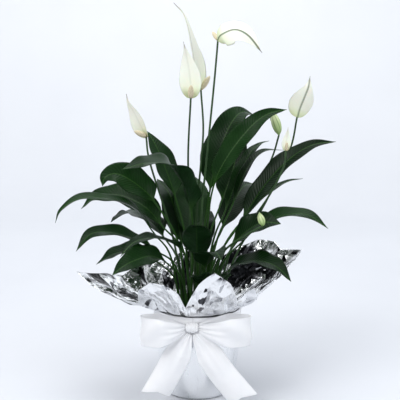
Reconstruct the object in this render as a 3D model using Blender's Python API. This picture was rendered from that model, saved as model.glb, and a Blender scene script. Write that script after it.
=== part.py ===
"""Potted peace lily, gift wrapped: a 15 cm nursery pot in silver foil with a satin bow.

Metres, +Z up, the front of the plant faces -Y. The pot stands on the origin. A bearing is an angle
in degrees about the pot's axis: 0 is to the right (+X), 90 is the back and 270 is the front.
"""
import math

import bmesh
import bpy
import numpy as np
from mathutils import Vector

# ---------------------------------------------------------------- driving sizes
SEAT = 0.0003              # gap between pieces that touch

FOIL_THICK = 0.0008
POT_FOOT = FOIL_THICK + SEAT
POT_TOP = 0.1345
POT_WALL = 0.0016
COMPOST_TOP = 0.1180
CROWN_RADIUS = 0.0320
CROWN_TOP = COMPOST_TOP + 0.0060
STEM_FOOT = CROWN_TOP + SEAT

WAIST_LOW = 0.1100         # the ribbon band round the foil
WAIST_HIGH = 0.1520
WAIST_RADIUS = 0.0749
RIBBON_THICK = 0.0008
RIBBON_WIDTH = 0.0490
BAND_INNER = WAIST_RADIUS + FOIL_THICK / 2 + SEAT + 0.0004

BAND_OUTER = BAND_INNER + RIBBON_THICK
KNOT_HALF = Vector((0.0110, 0.0072, 0.0095))
KNOT_X = -0.0090
KNOT_CENTRE = Vector((KNOT_X, -math.sqrt(BAND_OUTER ** 2 - KNOT_X ** 2) - KNOT_HALF.y - SEAT, 0.1370))

PETIOLE_FOOT = 0.0026      # radii of a leaf stalk, at the crown and under the blade
PETIOLE_NECK = 0.0015
BLADE_THICK = 0.0010
FLOWER_STEM = 0.0020
SPATHE_THICK = 0.0010


# ---------------------------------------------------------------- shared tools
def clear_scene():
    for item in list(bpy.data.objects):
        bpy.data.objects.remove(item, do_unlink=True)


def material(name, colour, roughness, metallic=0.0):
    made = bpy.data.materials.new(name)
    made.use_nodes = True
    shader = made.node_tree.nodes["Principled BSDF"]
    shader.inputs["Base Color"].default_value = (*colour, 1.0)
    shader.inputs["Roughness"].default_value = roughness
    shader.inputs["Metallic"].default_value = metallic
    made.diffuse_color = (*colour, 1.0)
    return made


def add_mesh(name, bm, finish):
    bmesh.ops.recalc_face_normals(bm, faces=bm.faces)
    mesh = bpy.data.meshes.new(name)
    bm.to_mesh(mesh)
    bm.free()
    for face in mesh.polygons:
        face.use_smooth = True
    piece = bpy.data.objects.new(name, mesh)
    piece.data.materials.append(finish)
    bpy.context.scene.collection.objects.link(piece)
    return piece


def smooth_path(points, count):
    """Evenly spaced points on the Catmull-Rom curve through hand-chosen points."""
    knots = np.array(points, dtype=float)
    first = 2 * knots[0] - knots[1]
    last = 2 * knots[-1] - knots[-2]
    knots = np.vstack([first, knots, last])
    dense = []
    for a, b, c, d in zip(knots, knots[1:], knots[2:], knots[3:]):
        for t in np.linspace(0, 1, 24, endpoint=False):
            dense.append(0.5 * (2 * b + (c - a) * t + (2 * a - 5 * b + 4 * c - d) * t ** 2
                                + (3 * b - a - 3 * c + d) * t ** 3))
    dense.append(knots[-2])
    dense = np.array(dense)
    travelled = np.concatenate([[0], np.cumsum(np.linalg.norm(np.diff(dense, axis=0), axis=1))])
    wanted = np.linspace(0, travelled[-1], count)
    return np.column_stack([np.interp(wanted, travelled, dense[:, k]) for k in range(3)])


def skin(name, rings, finish):
    """One closed body through rings that have the same number of points, with flat ends.

    The two halves of a ring are split into triangles the same way, so the two faces of a thin
    blade never cross.
    """
    bm = bmesh.new()
    rows = [[bm.verts.new(point) for point in ring] for ring in rings]
    sides = len(rings[0])
    for low, high in zip(rows, rows[1:]):
        for k in range(sides):
            n = (k + 1) % sides
            a, b = (k, n) if k < sides // 2 else (n, k)
            bm.faces.new((low[a], low[b], high[b]))
            bm.faces.new((low[a], high[b], high[a]))
    bm.faces.new(rows[0][::-1])
    bm.faces.new(rows[-1])
    return add_mesh(name, bm, finish)


def lathe(name, profile, finish, sides=36):
    """A body turned about Z from a closed outline of (radius, height) points."""
    bm = bmesh.new()
    points = [bm.verts.new((radius, 0.0, height)) for radius, height in profile]
    edges = [bm.edges.new((a, b)) for a, b in zip(points, points[1:])]
    bmesh.ops.spin(bm, geom=points + edges, axis=(0, 0, 1), cent=(0, 0, 0),
                   steps=sides, angle=2 * math.pi, use_merge=True)
    bmesh.ops.remove_doubles(bm, verts=bm.verts, dist=0.00001)
    return add_mesh(name, bm, finish)


def sheet(name, grid, finish, thick, bag=False):
    """A thin sheet over rows of points, thickened about that surface.

    A bag's rows are rings, and its first ring is filled as the bottom.
    """
    bm = bmesh.new()
    rows = [[bm.verts.new(point) for point in row] for row in grid]
    columns = len(rows[0]) if bag else len(rows[0]) - 1
    if bag:
        bm.faces.new(rows[0][::-1])
    for low, high in zip(rows, rows[1:]):
        for k in range(columns):
            n = (k + 1) % len(low)
            bm.faces.new((low[k], low[n], high[n], high[k]))
    piece = add_mesh(name, bm, finish)
    solid = piece.modifiers.new("thickness", "SOLIDIFY")
    solid.thickness = thick
    solid.offset = 0.0


def on_bearing(bearing, reach, height):
    turn = math.radians(bearing)
    return (reach * math.cos(turn), reach * math.sin(turn), height)


# ---------------------------------------------------------------- pot, compost and crown
def pot():
    plastic = material("pot plastic", (0.06, 0.06, 0.065), 0.55)
    foot, rim = 0.0520, 0.0690
    lip_low = POT_TOP - 0.0120
    outline = [(0.0, POT_FOOT), (foot, POT_FOOT), (rim, lip_low), (rim + 0.0028, lip_low),
               (rim + 0.0028, POT_TOP), (rim - POT_WALL, POT_TOP),
               (rim - POT_WALL, lip_low), (foot - POT_WALL, POT_FOOT + 0.0022),
               (0.0, POT_FOOT + 0.0022)]
    lathe("nursery_pot", outline, plastic)


def compost():
    soil = material("compost", (0.035, 0.022, 0.014), 0.95)
    low = POT_FOOT + 0.0022 + SEAT
    outline = [(0.0, low), (0.0495, low), (0.0660, COMPOST_TOP), (0.0, COMPOST_TOP)]
    lathe("compost", outline, soil)


def crown():
    base = material("crown", (0.16, 0.20, 0.07), 0.7)
    low = COMPOST_TOP + SEAT
    outline = [(0.0, low), (CROWN_RADIUS, low), (CROWN_RADIUS, CROWN_TOP - 0.002),
               (CROWN_RADIUS - 0.002, CROWN_TOP), (0.0, CROWN_TOP)]
    lathe("root_crown", outline, base, sides=24)


# ---------------------------------------------------------------- leaves
# Each leaf: where its stalk leaves the crown (distance from the axis, bearing), the bearing that
# it leans along, the turn of its blade about its midrib at the neck and at the tip, its greatest
# width, then its midrib as (reach, height) from the pot's axis: stalk, neck, blade ... tip.
LEAVES = [
    (0.019, 135, 135, 0, -15, 0.048,
     [(0.030, 0.265), (0.055, 0.335), (0.078, 0.380), (0.103, 0.420), (0.128, 0.448)]),
    (0.019, 225, 215, 10, -25, 0.064,
     [(0.010, 0.250), (0.012, 0.316), (0.026, 0.365), (0.056, 0.403), (0.100, 0.410), (0.147, 0.404)]),
    (0.019, 195, 188, -45, -60, 0.054,
     [(0.032, 0.260), (0.073, 0.335), (0.102, 0.366), (0.135, 0.386), (0.156, 0.382), (0.162, 0.366)]),
    (0.028, 200, 200, -5, -25, 0.028,
     [(0.048, 0.240), (0.077, 0.284), (0.112, 0.330), (0.157, 0.350), (0.204, 0.354), (0.236, 0.337),
      (0.246, 0.316)]),
    (0.028, 160, 165, -30, -40, 0.050,
     [(0.030, 0.245), (0.062, 0.287), (0.095, 0.321), (0.141, 0.340), (0.186, 0.336), (0.216, 0.312)]),
    (0.028, 220, 205, -15, -30, 0.038,
     [(0.040, 0.222), (0.077, 0.256), (0.115, 0.280), (0.159, 0.296), (0.192, 0.296), (0.218, 0.270)]),
    (0.028, 260, 236, 0, -20, 0.030,
     [(0.030, 0.215), (0.043, 0.255), (0.087, 0.283), (0.136, 0.297), (0.178, 0.297), (0.210, 0.282)]),
    (0.028, 240, 222, -25, -35, 0.046,
     [(0.034, 0.200), (0.066, 0.236), (0.102, 0.256), (0.140, 0.254), (0.163, 0.248), (0.183, 0.238)]),
    (0.0095, 60, 35, 25, 35, 0.058,
     [(0.013, 0.266), (0.026, 0.350), (0.043, 0.410), (0.070, 0.464), (0.096, 0.485), (0.128, 0.474)]),
    (0.0095, 0, 3, 55, 60, 0.041,
     [(0.016, 0.277), (0.027, 0.360), (0.052, 0.414), (0.091, 0.464), (0.121, 0.486), (0.152, 0.493)]),
    (0.028, 80, 58, 15, 20, 0.050,
     [(0.034, 0.254), (0.081, 0.322), (0.118, 0.370), (0.143, 0.418), (0.154, 0.456)]),
    (0.019, 15, 358, 35, 45, 0.042,
     [(0.036, 0.234), (0.074, 0.298), (0.112, 0.360), (0.151, 0.405), (0.192, 0.433), (0.234, 0.440)]),
    (0.028, 340, 340, 15, 25, 0.038,
     [(0.042, 0.222), (0.082, 0.272), (0.118, 0.307), (0.158, 0.323), (0.194, 0.325), (0.228, 0.305)]),
    (0.028, 40, 28, 10, 10, 0.018,
     [(0.048, 0.240), (0.094, 0.298), (0.128, 0.329), (0.157, 0.347), (0.186, 0.357), (0.218, 0.360)]),
    (0.028, 60, 60, 20, 25, 0.046,
     [(0.048, 0.228), (0.090, 0.270), (0.128, 0.308), (0.170, 0.336), (0.212, 0.338)]),
    (0.019, 75, 43, 10, 10, 0.026,
     [(0.036, 0.255), (0.066, 0.308), (0.098, 0.366), (0.127, 0.405), (0.152, 0.422), (0.180, 0.427)]),
    (0.028, 320, 326, 15, 15, 0.048,
     [(0.036, 0.192), (0.062, 0.222), (0.098, 0.243), (0.136, 0.248), (0.164, 0.239), (0.184, 0.222)]),
    (0.019, 285, 330, 38, 48, 0.052,
     [(0.033, 0.233), (0.068, 0.268), (0.098, 0.296), (0.127, 0.312), (0.158, 0.313)]),
    (0.019, 45, 32, 5, 5, 0.022,
     [(0.036, 0.250), (0.072, 0.321), (0.103, 0.385), (0.138, 0.413), (0.186, 0.413)]),
    (0.028, 100, 100, 0, 0, 0.066,
     [(0.032, 0.220), (0.044, 0.262), (0.058, 0.306), (0.082, 0.348), (0.124, 0.368)]),
    (0.028, 140, 145, 0, 0, 0.058,
     [(0.040, 0.220), (0.072, 0.262), (0.110, 0.290), (0.155, 0.298), (0.198, 0.276)]),
    (0.019, 105, 86, 0, 0, 0.056,
     [(0.027, 0.204), (0.042, 0.234), (0.062, 0.266), (0.092, 0.290), (0.134, 0.294)]),
    (0.0095, 240, 268, 0, 0, 0.052,
     [(0.012, 0.200), (0.018, 0.240), (0.026, 0.270), (0.040, 0.296), (0.056, 0.306)]),
    (0.019, 255, 292, 0, 10, 0.052,
     [(0.020, 0.195), (0.034, 0.226), (0.054, 0.252), (0.080, 0.264), (0.106, 0.257)]),
    (0.028, 280, 278, 0, 0, 0.040,
     [(0.032, 0.170), (0.044, 0.196), (0.062, 0.214), (0.086, 0.222), (0.110, 0.240)]),
    (0.028, 120, 124, 0, 0, 0.064,
     [(0.034, 0.215), (0.050, 0.250), (0.066, 0.294), (0.092, 0.336), (0.134, 0.358)]),
    (0.028, 300, 299, 10, 10, 0.040,
     [(0.034, 0.172), (0.046, 0.194), (0.066, 0.212), (0.092, 0.220), (0.112, 0.232)]),
    (0.028, 180, 182, -10, -20, 0.046,
     [(0.038, 0.195), (0.068, 0.228), (0.102, 0.246), (0.140, 0.246), (0.176, 0.226)]),
]
STALK_RINGS = 5
BLADE_RINGS = 10
SPINE_STEPS = 120          # fine steps along a midrib, from which the rings are picked


def blade_outline(u):
    """Half-width share of a blade from neck (0) to tip (1): widest near the middle, long point."""
    peak = 0.42 ** 0.75 * 0.58 ** 1.05
    return u ** 0.75 * (1 - u) ** 1.05 / peak


def blade_ring(centre, side, normal, half_width, stalk, share, thick, cup):
    """Eight points round the leaf: a round stalk where share is 0, a folded blade where it is 1."""
    top = [-1.0, -0.5, 0.0, 0.5, 1.0]
    ring = []
    for k in range(8):
        angle = math.pi - k * math.pi / 4
        stalk_point = (math.cos(angle) * stalk, math.sin(angle) * stalk)
        across = top[k] if k < 5 else top[8 - k]
        lift = cup * (0.55 * abs(across) + 0.45 * across * across) * half_width
        depth = 0.0 if k in (0, 4) else thick / 2
        depth = depth if k < 5 else -depth
        blade_point = (across * half_width, lift + depth)
        a = stalk_point[0] * (1 - share) + blade_point[0] * share
        b = stalk_point[1] * (1 - share) + blade_point[1] * share
        ring.append(centre + side * a + normal * b)
    return ring


def leaf(number, row, finish):
    root_reach, root_bearing, bearing, turn_neck, turn_tip, width, midrib = row
    root = on_bearing(root_bearing, root_reach, STEM_FOOT)
    route = [root] + [on_bearing(bearing, reach, height) for reach, height in midrib]
    spine = smooth_path(route, SPINE_STEPS + 1)
    neck_at = int(np.argmin(np.linalg.norm(spine - np.array(route[2]), axis=1)))
    stalk_steps = np.linspace(0, neck_at, STALK_RINGS, endpoint=False)
    blade_steps = np.linspace(neck_at, SPINE_STEPS, BLADE_RINGS)
    flat = math.radians(bearing)
    level = Vector((-math.sin(flat), math.cos(flat), 0.0))
    rings = []
    for step in list(stalk_steps) + list(blade_steps):
        at = int(round(step))
        ahead = Vector(spine[min(at + 2, SPINE_STEPS)] - spine[max(at - 2, 0)]).normalized()
        if at == 0:
            ahead = Vector((0, 0, 1))
        upper = ahead.cross(level).normalized()
        flat_side = upper.cross(ahead).normalized()
        u = max(0.0, (at - neck_at) / (SPINE_STEPS - neck_at))
        turn = math.radians(turn_neck + (turn_tip - turn_neck) * u)
        if at < neck_at:
            turn = math.radians(turn_neck) * at / neck_at
        side = flat_side * math.cos(turn) + upper * math.sin(turn)
        normal = upper * math.cos(turn) - flat_side * math.sin(turn)
        stalk = PETIOLE_FOOT + (PETIOLE_NECK - PETIOLE_FOOT) * min(1.0, at / neck_at)
        share = min(1.0, u * 6)
        half_width = max(0.0009, width / 2 * blade_outline(min(u, 0.985)))
        cup = 0.42 * (1 - 0.5 * u)
        rings.append(blade_ring(Vector(spine[at]), side, normal, half_width, stalk, share,
                                BLADE_THICK, cup))
    skin("leaf_%02d" % number, rings, finish)


def leaves():
    green = material("leaf green", (0.016, 0.060, 0.020), 0.35)
    for number, row in enumerate(LEAVES, start=1):
        leaf(number, row, green)


# ---------------------------------------------------------------- flowers and buds
# Each flower: where its stem leaves the crown (distance, bearing), the stem's points up to the
# flower, the spathe's midrib points up to its tip, the way its hollow side faces, its width, how
# deeply it is cupped, then the spadix's direction, length and radius.
FLOWERS = [
    (0.019, 165, [(-0.042, 0.000, 0.270), (-0.080, -0.002, 0.400), (-0.087, 0.000, 0.447)],
     [(-0.094, 0.002, 0.462), (-0.106, 0.002, 0.487), (-0.116, -0.002, 0.505), (-0.119, -0.008, 0.520)],
     (-0.50, -0.75, -0.20), 0.034, 0.75, (-0.70, -0.45, 0.35), 0.024, 0.0045),
    (0.0095, 180, [(-0.013, 0.008, 0.300), (-0.016, 0.008, 0.410), (-0.011, -0.012, 0.513)],
     [(-0.011, -0.010, 0.527), (-0.013, -0.008, 0.553), (-0.018, -0.008, 0.582), (-0.023, -0.014, 0.606)],
     (0.05, -1.00, 0.10), 0.042, 0.60, (0.02, -0.60, 0.90), 0.024, 0.0048),
    (0.0095, 120, [(-0.002, 0.020, 0.300), (0.006, 0.018, 0.400), (0.010, 0.024, 0.460),
                   (0.006, 0.036, 0.524)],
     [(-0.002, 0.040, 0.545), (-0.010, 0.042, 0.600), (-0.022, 0.040, 0.648), (-0.040, 0.034, 0.671)],
     (0.97, -0.26, 0.05), 0.066, 0.70, (0.60, -0.22, 0.90), 0.028, 0.0048),
    (0.0095, 300, [(0.006, -0.014, 0.300), (0.016, -0.018, 0.416), (0.028, -0.018, 0.540),
                   (0.034, -0.009, 0.608)],
     [(0.040, -0.019, 0.617), (0.062, -0.020, 0.625), (0.084, -0.022, 0.615), (0.106, -0.026, 0.588)],
     (0.10, 0.75, -0.60), 0.052, 0.45, (-0.35, 0.95, 0.50), 0.028, 0.0037),
    (0.028, 0, [(0.066, 0.009, 0.235), (0.122, 0.026, 0.335), (0.162, 0.044, 0.420), (0.174, 0.048, 0.477)],
     [(0.178, 0.044, 0.492), (0.186, 0.038, 0.515), (0.191, 0.036, 0.530), (0.194, 0.040, 0.548)],
     (-0.10, 1.00, 0.05), 0.048, 0.65, (0.15, 0.65, 0.85), 0.026, 0.0046),
    (0.019, 345, [(0.044, -0.008, 0.225), (0.076, -0.012, 0.280), (0.120, -0.030, 0.350),
                  (0.143, -0.038, 0.400), (0.147, -0.036, 0.428)],
     [(0.148, -0.032, 0.440), (0.149, -0.031, 0.450), (0.150, -0.032, 0.460), (0.150, -0.035, 0.467)],
     (-0.20, -1.00, 0.10), 0.018, 0.75, (0.05, -0.55, 0.90), 0.015, 0.0028),
]
# Each bud: its stem's foot on the crown, the stem's points, then the bud's tip and radius.
BUDS = [
    (0.028, 20, [(0.060, 0.022, 0.250), (0.100, 0.036, 0.340), (0.130, 0.040, 0.405), (0.142, 0.040, 0.446)],
     (0.128, 0.034, 0.490), 0.0085),
    (0.019, 315, [(0.026, -0.027, 0.215), (0.046, -0.052, 0.262), (0.078, -0.080, 0.293),
                  (0.105, -0.091, 0.312)],
     (0.099, -0.092, 0.334), 0.0062),
]
STEM_RINGS = 12
STEM_SIDES = 6
SPATHE_RINGS = 10
SPATHE_POINTS = 5
SPIKE_RINGS = 7
SPIKE_SIDES = 8
STEM_TOP = FLOWER_STEM * 0.8


def flower_stem(name, root_reach, root_bearing, points, finish):
    """A round stem from the crown; gives its top and the way that it points there."""
    root = on_bearing(root_bearing, root_reach, STEM_FOOT)
    spine = smooth_path([root] + points, STEM_RINGS)
    last = STEM_RINGS - 1
    rings = []
    side = Vector((1, 0, 0))
    for k, centre in enumerate(spine):
        ahead = Vector((0, 0, 1))
        if k > 0:
            ahead = Vector(spine[min(k + 1, last)] - spine[k - 1]).normalized()
        side = (side - ahead * side.dot(ahead)).normalized()
        other = ahead.cross(side)
        radius = FLOWER_STEM + (STEM_TOP - FLOWER_STEM) * k / last
        rings.append([Vector(centre) + (side * math.cos(turn) + other * math.sin(turn)) * radius
                      for turn in np.linspace(0, 2 * math.pi, STEM_SIDES, endpoint=False)])
    skin(name, rings, finish)
    return Vector(spine[last]), ahead


def spathe(name, end, ahead, points, facing, width, cup, finish):
    """The cupped white sheath: a thin hollow blade from behind the stem's end up to its point."""
    front = Vector(facing)
    front = (front - ahead * front.dot(ahead)).normalized()
    start = end - front * (STEM_TOP + SPATHE_THICK / 2 + 3 * SEAT) - ahead * 0.001
    spine = smooth_path([start] + points, SPINE_STEPS + 1)
    rings = []
    for step in np.linspace(0, SPINE_STEPS, SPATHE_RINGS):
        at = int(round(step))
        u = at / SPINE_STEPS
        along = Vector(spine[min(at + 2, SPINE_STEPS)] - spine[max(at - 2, 0)]).normalized()
        inner = Vector(facing)
        inner = (inner - along * inner.dot(along)).normalized()
        side = along.cross(inner)
        swell = 0.09 + 0.91 * math.sin(math.pi * u ** 0.62) ** 0.9
        half = width / 2 * max(0.03, swell * (1 - u ** 3))
        bend = cup * 1.5 * (1 - 0.6 * u)
        ring = []
        for layer in (0.5, -0.5):
            for v in np.linspace(-1, 1, SPATHE_POINTS) * (1 if layer > 0 else -1):
                reach = half / bend * math.sin(v * bend)
                lift = half / bend * (1 - math.cos(v * bend)) + layer * SPATHE_THICK
                ring.append(Vector(spine[at]) + side * reach + inner * lift)
        rings.append(ring)
    skin(name, rings, finish)


def spike(name, end, ahead, way, length, radius, fullness, finish):
    """A spadix, or a closed bud where fullness is high: a rounded spike on the stem's end."""
    way = Vector(way).normalized()
    foot = end + ahead * (SEAT + 0.001)
    side = Vector((1, 0, 0))
    rings = []
    for k in range(SPIKE_RINGS + 1):
        u = k / SPIKE_RINGS
        turned = min(1.0, 2 * u)
        lean = (ahead * (1 - turned) + way * turned).normalized()
        side = (side - lean * side.dot(lean)).normalized()
        other = lean.cross(side)
        swell = max(0.22, math.sin(math.pi * (0.10 + 0.87 * u)) ** fullness)
        wide = radius * swell if k > 0 else STEM_TOP * 0.9
        centre = foot + way * length * u if k > 0 else end + ahead * SEAT
        rings.append([centre + (side * math.cos(turn) + other * math.sin(turn)) * wide
                      for turn in np.linspace(0, 2 * math.pi, SPIKE_SIDES, endpoint=False)])
    skin(name, rings, finish)


def flowers():
    stem_green = material("flower stem green", (0.045, 0.105, 0.035), 0.45)
    white = material("spathe white", (0.88, 0.89, 0.80), 0.45)
    cream = material("spadix cream", (0.80, 0.70, 0.48), 0.7)
    bud_green = material("bud green", (0.42, 0.52, 0.22), 0.45)
    for number, row in enumerate(FLOWERS, start=1):
        root_reach, root_bearing, stem, midrib, facing, width, cup, way, length, radius = row
        name = "flower_%d" % number
        end, ahead = flower_stem(name + "_stem", root_reach, root_bearing, stem, stem_green)
        spathe(name + "_spathe", end, ahead, midrib, facing, width, cup, white)
        spike(name + "_spadix", end, ahead, way, length, radius, 0.5, cream)
    for number, row in enumerate(BUDS, start=1):
        root_reach, root_bearing, stem, tip, radius = row
        name = "bud_%d" % number
        end, ahead = flower_stem(name + "_stem", root_reach, root_bearing, stem, stem_green)
        way = Vector(tip) - end
        spike(name + "_spathe", end, ahead, way, way.length, radius, 0.9, bud_green)


# ---------------------------------------------------------------- foil wrap
# The wrap's free edge, once round the pot from bearing 0: (bearing, reach, height). The square
# sheet's corners stand out left, right, front and back, and the edge dips between them.
FOIL_EDGE = [
    (3, 0.168, 0.226), (12, 0.189, 0.242), (22, 0.164, 0.236), (30, 0.160, 0.248), (42, 0.152, 0.246),
    (55, 0.138, 0.230), (72, 0.112, 0.204), (95, 0.132, 0.234), (118, 0.110, 0.202), (140, 0.124, 0.212),
    (160, 0.142, 0.192), (175, 0.176, 0.204), (190, 0.210, 0.220), (197, 0.186, 0.202), (206, 0.150, 0.182),
    (214, 0.120, 0.174), (219, 0.126, 0.200), (229, 0.120, 0.216), (243, 0.112, 0.216), (253, 0.107, 0.200),
    (258, 0.096, 0.174), (264, 0.106, 0.196), (271, 0.115, 0.220), (278, 0.121, 0.234), (283, 0.125, 0.242),
    (288, 0.126, 0.234), (296, 0.124, 0.220), (303, 0.114, 0.198), (308, 0.106, 0.184), (315, 0.120, 0.200),
    (320, 0.124, 0.204), (327, 0.116, 0.190), (338, 0.130, 0.201), (352, 0.149, 0.214),
]
FOIL_STEPS = 96
COLLAR_ROWS = 6
BASE_RADIUS = 0.0560
PLEAT_DEPTH = 0.0016
CREASE_DEPTH = 0.0035


def pleats(bearing):
    """The wall's soft upright pleats, between about -1.6 and 1.6."""
    return math.cos(math.radians(9 * bearing)) + 0.6 * math.cos(math.radians(14 * bearing + 50))


def foil_edge(bearing):
    """Reach and height of the wrap's free edge at a bearing."""
    turns = [row[0] for row in FOIL_EDGE]
    turns = [turns[-1] - 360] + turns + [turns[0] + 360]
    rows = [FOIL_EDGE[-1]] + FOIL_EDGE + [FOIL_EDGE[0]]
    reach = np.interp(bearing, turns, [row[1] for row in rows])
    height = np.interp(bearing, turns, [row[2] for row in rows])
    return reach, height


def foil_wrap():
    """Foot, pleated wall, plain waist under the ribbon, then a creased collar up to the edge."""
    silver = material("silver foil", (0.80, 0.81, 0.83), 0.18, 1.0)
    wall = [(0.0620, 0.0060), (0.0655, 0.0350), (0.0705, 0.0740), (WAIST_RADIUS, WAIST_LOW - 0.002),
            (WAIST_RADIUS, WAIST_HIGH + 0.001)]
    bearings = np.arange(FOIL_STEPS) * 360 / FOIL_STEPS
    grid = [[on_bearing(b, radius, FOIL_THICK / 2) for b in bearings] for radius in (0.0280, BASE_RADIUS)]
    for radius, height in wall:
        depth = PLEAT_DEPTH * math.sin(math.pi * min(1.0, height / (WAIST_LOW - 0.002)))
        grid.append([on_bearing(b, radius + depth * pleats(b), height) for b in bearings])
    low = WAIST_HIGH + 0.001
    for row in range(1, COLLAR_ROWS + 1):
        t = row / COLLAR_ROWS
        ring = []
        for b in bearings:
            reach, height = foil_edge(b)
            crease = CREASE_DEPTH * math.sin(t * math.pi * 0.9) * math.sin(math.radians(17 * b) + 5 * t)
            out = WAIST_RADIUS + (reach - WAIST_RADIUS) * t ** 0.9 + crease
            up = low + (height - low) * t ** 1.1 - 0.4 * crease
            ring.append(on_bearing(b, out, up))
        grid.append(ring)
    sheet("foil_wrap", grid, silver, FOIL_THICK, bag=True)


# ---------------------------------------------------------------- ribbon
LOOP_ROWS = 24
TAIL_ROWS = 12
GATHERED = 0.0130          # the ribbon's width where the knot gathers it


def ribbon_band(satin):
    outline = [(BAND_INNER, WAIST_LOW), (BAND_OUTER, WAIST_LOW), (BAND_OUTER, WAIST_HIGH),
               (BAND_INNER, WAIST_HIGH), (BAND_INNER, WAIST_LOW)]
    lathe("ribbon_band", outline, satin, sides=60)


def ribbon_knot(satin):
    bm = bmesh.new()
    bmesh.ops.create_uvsphere(bm, u_segments=12, v_segments=8, radius=1.0)
    bmesh.ops.scale(bm, vec=KNOT_HALF, verts=bm.verts)
    bmesh.ops.translate(bm, vec=KNOT_CENTRE, verts=bm.verts)
    add_mesh("bow_knot", bm, satin)


def bow_loop(name, hand, reach, satin):
    """A loop of ribbon from the knot, out and back; hand is -1 for the left, 1 for the right."""
    start = KNOT_CENTRE.x + hand * (KNOT_HALF.x + SEAT)
    stop = hand * reach
    front = [(0.00, -0.0024), (0.22, -0.0180), (0.52, -0.0270), (0.82, -0.0230), (0.97, -0.0150)]
    turn = [(1.00, -0.0070)]
    back = [(0.97, 0.0005), (0.80, 0.0055), (0.52, 0.0055), (0.22, 0.0040), (0.00, 0.0020)]
    outline = [(start + (stop - start) * share, KNOT_CENTRE.y + y, 0.0) for share, y in front + turn + back]
    path = smooth_path(outline, LOOP_ROWS)
    grid = []
    for x, y, _ in path:
        away = min(1.0, abs(x - start) / abs(stop - start))
        tall = GATHERED + (RIBBON_WIDTH - GATHERED) * min(1.0, away * 1.7) ** 0.8
        grid.append([(x, y, KNOT_CENTRE.z - 0.001 + tall * v) for v in (-0.5, 0.0, 0.5)])
    sheet(name, grid, satin, RIBBON_THICK)


def ribbon_tail(name, route, cut, satin):
    """A hanging tail: its width opens from the gathered knot, and its end is cut on a slant."""
    path = smooth_path(route, TAIL_ROWS)
    last = TAIL_ROWS - 1
    grid = []
    for k, centre in enumerate(path):
        share = k / last
        ahead = Vector(path[min(k + 1, last)] - path[max(k - 1, 0)])
        ahead.y = 0.0
        ahead.normalize()
        across = Vector((-ahead.z, 0.0, ahead.x))
        wide = GATHERED - 0.003 + (RIBBON_WIDTH - GATHERED) * min(1.0, share * 3.2) ** 0.8
        row = []
        for v in (-0.5, 0.0, 0.5):
            slant = ahead * (cut * v * share ** 6)
            belly = Vector((0, 0.006 * (4 * v * v - 1) * min(1.0, share * 3), 0))
            row.append(Vector(centre) + across * (wide * v) + slant + belly)
        grid.append(row)
    sheet(name, grid, satin, RIBBON_THICK)


def ribbon():
    satin = material("white satin", (0.90, 0.90, 0.92), 0.3)
    ribbon_band(satin)
    ribbon_knot(satin)
    bow_loop("bow_loop_left", -1, 0.0940, satin)
    bow_loop("bow_loop_right", 1, 0.0890, satin)
    under = KNOT_CENTRE.z - KNOT_HALF.z - SEAT
    ribbon_tail("ribbon_tail_left",
                [(-0.014, -0.0845, under), (-0.027, -0.0930, 0.105), (-0.048, -0.0960, 0.065),
                 (-0.070, -0.1000, 0.027)], -0.016, satin)
    ribbon_tail("ribbon_tail_right",
                [(-0.004, -0.0845, under), (0.014, -0.0940, 0.104), (0.040, -0.1000, 0.066),
                 (0.078, -0.1060, 0.020)], 0.014, satin)


clear_scene()
pot()
compost()
crown()
leaves()
flowers()
foil_wrap()
ribbon()
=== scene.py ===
"""Potted peace lily, gift wrapped: a pot in silver film, tied with a white satin bow.

Metres, +Z up, the front of the plant faces -Y. A bearing is an angle in degrees about the pot's
axis: 0 is to the right (+X), 90 is the back and 270 is the front.
"""
import math

import bpy
import numpy as np
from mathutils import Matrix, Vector


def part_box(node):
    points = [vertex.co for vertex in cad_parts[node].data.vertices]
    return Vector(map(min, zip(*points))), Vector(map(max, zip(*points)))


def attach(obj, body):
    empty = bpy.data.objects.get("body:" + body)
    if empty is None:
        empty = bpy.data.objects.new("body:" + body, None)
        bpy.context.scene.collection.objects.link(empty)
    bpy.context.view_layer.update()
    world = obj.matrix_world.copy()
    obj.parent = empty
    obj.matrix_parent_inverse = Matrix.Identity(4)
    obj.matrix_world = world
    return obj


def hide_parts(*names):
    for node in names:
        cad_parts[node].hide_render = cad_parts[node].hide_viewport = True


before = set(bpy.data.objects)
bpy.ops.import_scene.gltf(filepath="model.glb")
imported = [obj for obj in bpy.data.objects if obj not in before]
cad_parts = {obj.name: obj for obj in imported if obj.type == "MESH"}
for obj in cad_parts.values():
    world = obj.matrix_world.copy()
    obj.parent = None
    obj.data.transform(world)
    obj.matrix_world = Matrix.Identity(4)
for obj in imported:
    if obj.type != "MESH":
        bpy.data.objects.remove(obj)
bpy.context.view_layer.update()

# ---------------------------------------------------------------- nursery pot
# A thin black pot of moulded plastic, 14 cm across its rim. It stands inside the silver film, so
# only its rim and the wall above the compost show. It keeps its frame shape.


def new_finish(name, colour, roughness, metallic=0.0):
    """A material with its tree and its surface shader."""
    finish = bpy.data.materials.new(name)
    finish.use_nodes = True
    shader = finish.node_tree.nodes["Principled BSDF"]
    shader.inputs["Base Color"].default_value = (*colour, 1.0)
    shader.inputs["Roughness"].default_value = roughness
    shader.inputs["Metallic"].default_value = metallic
    return finish, finish.node_tree, shader


def add_node(tree, kind, **settings):
    """A node with the given settings; a setting that names an input sets its value or link."""
    node = tree.nodes.new(kind)
    for key, value in settings.items():
        if hasattr(node, key):
            setattr(node, key, value)
            continue
        slot = int(key[1:]) if key[0] == "i" and key[1:].isdigit() else key.replace("_", " ")
        if isinstance(value, bpy.types.NodeSocket):
            tree.links.new(value, node.inputs[slot])
        else:
            node.inputs[slot].default_value = value
    return node


def sum_of(tree, how, first, second=0.0, third=0.0):
    """One step of arithmetic on two or three sockets or numbers."""
    return add_node(tree, "ShaderNodeMath", operation=how, i0=first, i1=second, i2=third).outputs[0]


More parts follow.
